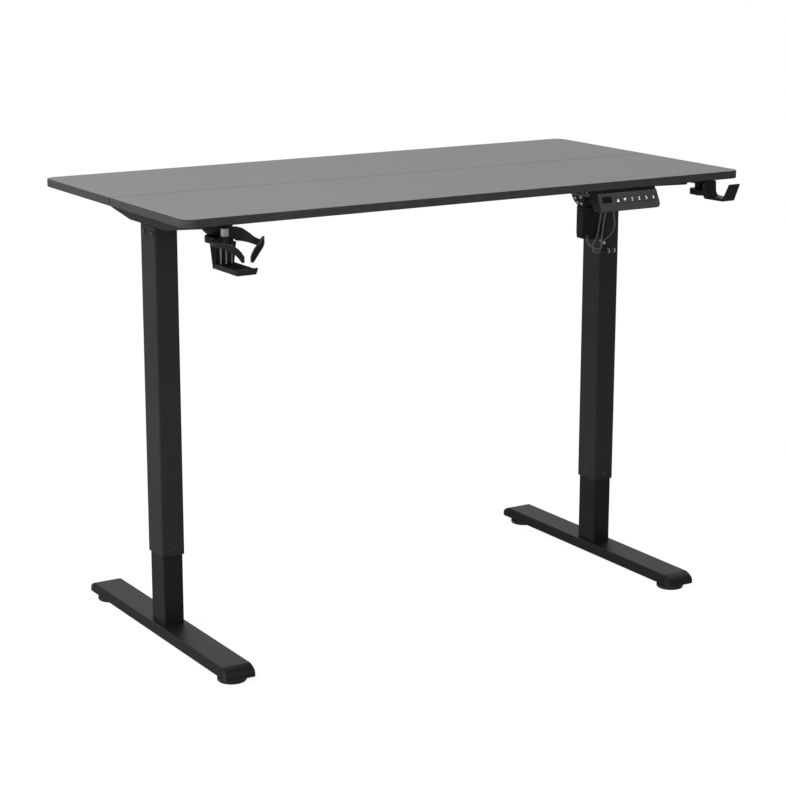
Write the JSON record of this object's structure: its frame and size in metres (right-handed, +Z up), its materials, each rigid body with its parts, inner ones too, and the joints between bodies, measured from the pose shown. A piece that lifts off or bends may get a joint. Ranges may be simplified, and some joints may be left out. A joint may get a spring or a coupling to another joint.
{
  "type": "height adjustable standing desk",
  "caption": "Electric standing desk with a split flat desktop on telescopic columns, floor beams with levelers, a key panel, a cup holder and a headset hook.",
  "frame": {"origin": "on the floor, in the middle of the rectangle that the whole desk covers seen from above", "axes": "+Z up, +X to the user's right along the desktop, +Y away from the user"},
  "size_m": [1.2, 0.6938, 0.8475],
  "materials": {
    "desktop_laminate": "fine matt textured laminate",
    "frame_powder_coat": "satin black powder coat",
    "black_plastic": "fine moulded grain",
    "gloss_black_plastic": "polished",
    "zinc_steel": "bright zinc plate",
    "gear_steel": "machined, oiled",
    "nylon": "natural moulded",
    "lead_sheath": "smooth flexible sheath"
  },
  "bodies": {
    "base": {"foot_beam_left": "frame_powder_coat", "foot_cap_left_front": "black_plastic", "foot_cap_left_rear": "black_plastic", "inner_tube_left": "frame_powder_coat", "lift_nut_left": "nylon", "foot_beam_right": "frame_powder_coat", "foot_cap_right_front": "black_plastic", "foot_cap_right_rear": "black_plastic", "inner_tube_right": "frame_powder_coat", "lift_nut_right": "nylon"},
    "upper_frame": {"desktop_front_board": "desktop_laminate", "desktop_rear_board": "desktop_laminate", "seam_plate": "frame_powder_coat", "side_bracket_left": "frame_powder_coat", "head_bracket_left": "frame_powder_coat", "outer_tube_left": "frame_powder_coat", "glide_collar_left": "black_plastic", "gearbox_housing_left": "black_plastic", "side_bracket_right": "frame_powder_coat", "head_bracket_right": "frame_powder_coat", "outer_tube_right": "frame_powder_coat", "glide_collar_right": "black_plastic", "gearbox_housing_right": "black_plastic", "crossbeam_front": "frame_powder_coat", "crossbeam_rear": "frame_powder_coat", "motor_gearcase": "black_plastic", "motor_can": "frame_powder_coat", "control_box": "black_plastic", "power_inlet": "gloss_black_plastic", "panel_case": "black_plastic", "display_window": "gloss_black_plastic", "cup_mount": "black_plastic", "cup_pivot_bolt": "zinc_steel", "hook_mount": "black_plastic", "hook_pivot_bolt": "zinc_steel", "panel_lead": "lead_sheath", "motor_lead": "lead_sheath", "lead_plug": "black_plastic"},
    "cup_holder": {"cup_cradle": "black_plastic"},
    "cup_claw_left": {"cup_claw_left": "black_plastic"},
    "cup_claw_right": {"cup_claw_right": "black_plastic"},
    "headset_hook": {"hook": "black_plastic"},
    "screw_left": {"lead_screw_left": "zinc_steel", "screw_gear_left": "gear_steel"},
    "screw_right": {"lead_screw_right": "zinc_steel", "screw_gear_right": "gear_steel"},
    "drive_shaft": {"hex_shaft": "zinc_steel", "shaft_gear_left": "gear_steel", "shaft_gear_right": "gear_steel", "drive_hub": "gear_steel"},
    "leveler_left_front": {"leveler_left_front": "black_plastic"},
    "leveler_left_rear": {"leveler_left_rear": "black_plastic"},
    "leveler_right_front": {"leveler_right_front": "black_plastic"},
    "leveler_right_rear": {"leveler_right_rear": "black_plastic"},
    "key_up": {"key_up": "black_plastic"},
    "key_down": {"key_down": "black_plastic"},
    "key_1": {"key_1": "black_plastic"},
    "key_2": {"key_2": "black_plastic"},
    "key_3": {"key_3": "black_plastic"},
    "key_4": {"key_4": "black_plastic"}
  },
  "joints": [
    {"name": "lift", "type": "slide", "parent": "base", "child": "upper_frame", "axis": [0, 0, 1], "range_m": [-0.1275, 0.3325]},
    {"name": "screw_left_turn", "type": "hinge", "parent": "upper_frame", "child": "screw_left", "pos_m": [-0.4995, 0.05086, 0.8075], "axis": [0, 0, 1], "range_deg": [-5740, 14965]},
    {"name": "screw_right_turn", "type": "hinge", "parent": "upper_frame", "child": "screw_right", "pos_m": [0.4995, 0.05086, 0.8075], "axis": [0, 0, 1], "range_deg": [-5740, 14965]},
    {"name": "drive_shaft_turn", "type": "hinge", "parent": "upper_frame", "child": "drive_shaft", "pos_m": [0, 0.05086, 0.8075], "axis": [1, 0, 0], "range_deg": [-5740, 14965]},
    {"name": "leveler_left_front_travel", "type": "slide", "parent": "base", "child": "leveler_left_front", "axis": [0, 0, 1], "range_m": [-0.008, 0.002]},
    {"name": "leveler_left_rear_travel", "type": "slide", "parent": "base", "child": "leveler_left_rear", "axis": [0, 0, 1], "range_m": [-0.008, 0.002]},
    {"name": "leveler_right_front_travel", "type": "slide", "parent": "base", "child": "leveler_right_front", "axis": [0, 0, 1], "range_m": [-0.008, 0.002]},
    {"name": "leveler_right_rear_travel", "type": "slide", "parent": "base", "child": "leveler_right_rear", "axis": [0, 0, 1], "range_m": [-0.008, 0.002]},
    {"name": "key_up_press", "type": "slide", "parent": "upper_frame", "child": "key_up", "axis": [0, 0.9321, -0.3622], "range_m": [0, 0.0008], "stiffness_N_per_m": 1500},
    {"name": "key_down_press", "type": "slide", "parent": "upper_frame", "child": "key_down", "axis": [0, 0.9321, -0.3622], "range_m": [0, 0.0008], "stiffness_N_per_m": 1500},
    {"name": "key_1_press", "type": "slide", "parent": "upper_frame", "child": "key_1", "axis": [0, 0.9321, -0.3622], "range_m": [0, 0.0008], "stiffness_N_per_m": 1500},
    {"name": "key_2_press", "type": "slide", "parent": "upper_frame", "child": "key_2", "axis": [0, 0.9321, -0.3622], "range_m": [0, 0.0008], "stiffness_N_per_m": 1500},
    {"name": "key_3_press", "type": "slide", "parent": "upper_frame", "child": "key_3", "axis": [0, 0.9321, -0.3622], "range_m": [0, 0.0008], "stiffness_N_per_m": 1500},
    {"name": "key_4_press", "type": "slide", "parent": "upper_frame", "child": "key_4", "axis": [0, 0.9321, -0.3622], "range_m": [0, 0.0008], "stiffness_N_per_m": 1500},
    {"name": "cup_holder_swivel", "type": "hinge", "parent": "upper_frame", "child": "cup_holder", "pos_m": [-0.5235, -0.22864, 0.80875], "axis": [0, 0, 1], "range_deg": [-50, 50]},
    {"name": "cup_claw_left_open", "type": "hinge", "parent": "cup_holder", "child": "cup_claw_left", "pos_m": [-0.5265, -0.26264, 0.8185], "axis": [0, 0, 1], "range_deg": [-30, 0], "stiffness_Nm_per_rad": 0.08},
    {"name": "cup_claw_right_open", "type": "hinge", "parent": "cup_holder", "child": "cup_claw_right", "pos_m": [-0.5265, -0.26264, 0.8185], "axis": [0, 0, 1], "range_deg": [0, 30], "stiffness_Nm_per_rad": 0.08},
    {"name": "headset_hook_swivel", "type": "hinge", "parent": "upper_frame", "child": "headset_hook", "pos_m": [0.5235, -0.22864, 0.80875], "axis": [0, 0, 1], "range_deg": [-50, 50]}
  ],
  "couplings": [
    {"joint": "screw_left_turn", "follows": "lift", "rad_per_m": 785.4},
    {"joint": "screw_right_turn", "follows": "lift", "rad_per_m": 785.4},
    {"joint": "drive_shaft_turn", "follows": "lift", "rad_per_m": 785.4}
  ]
}
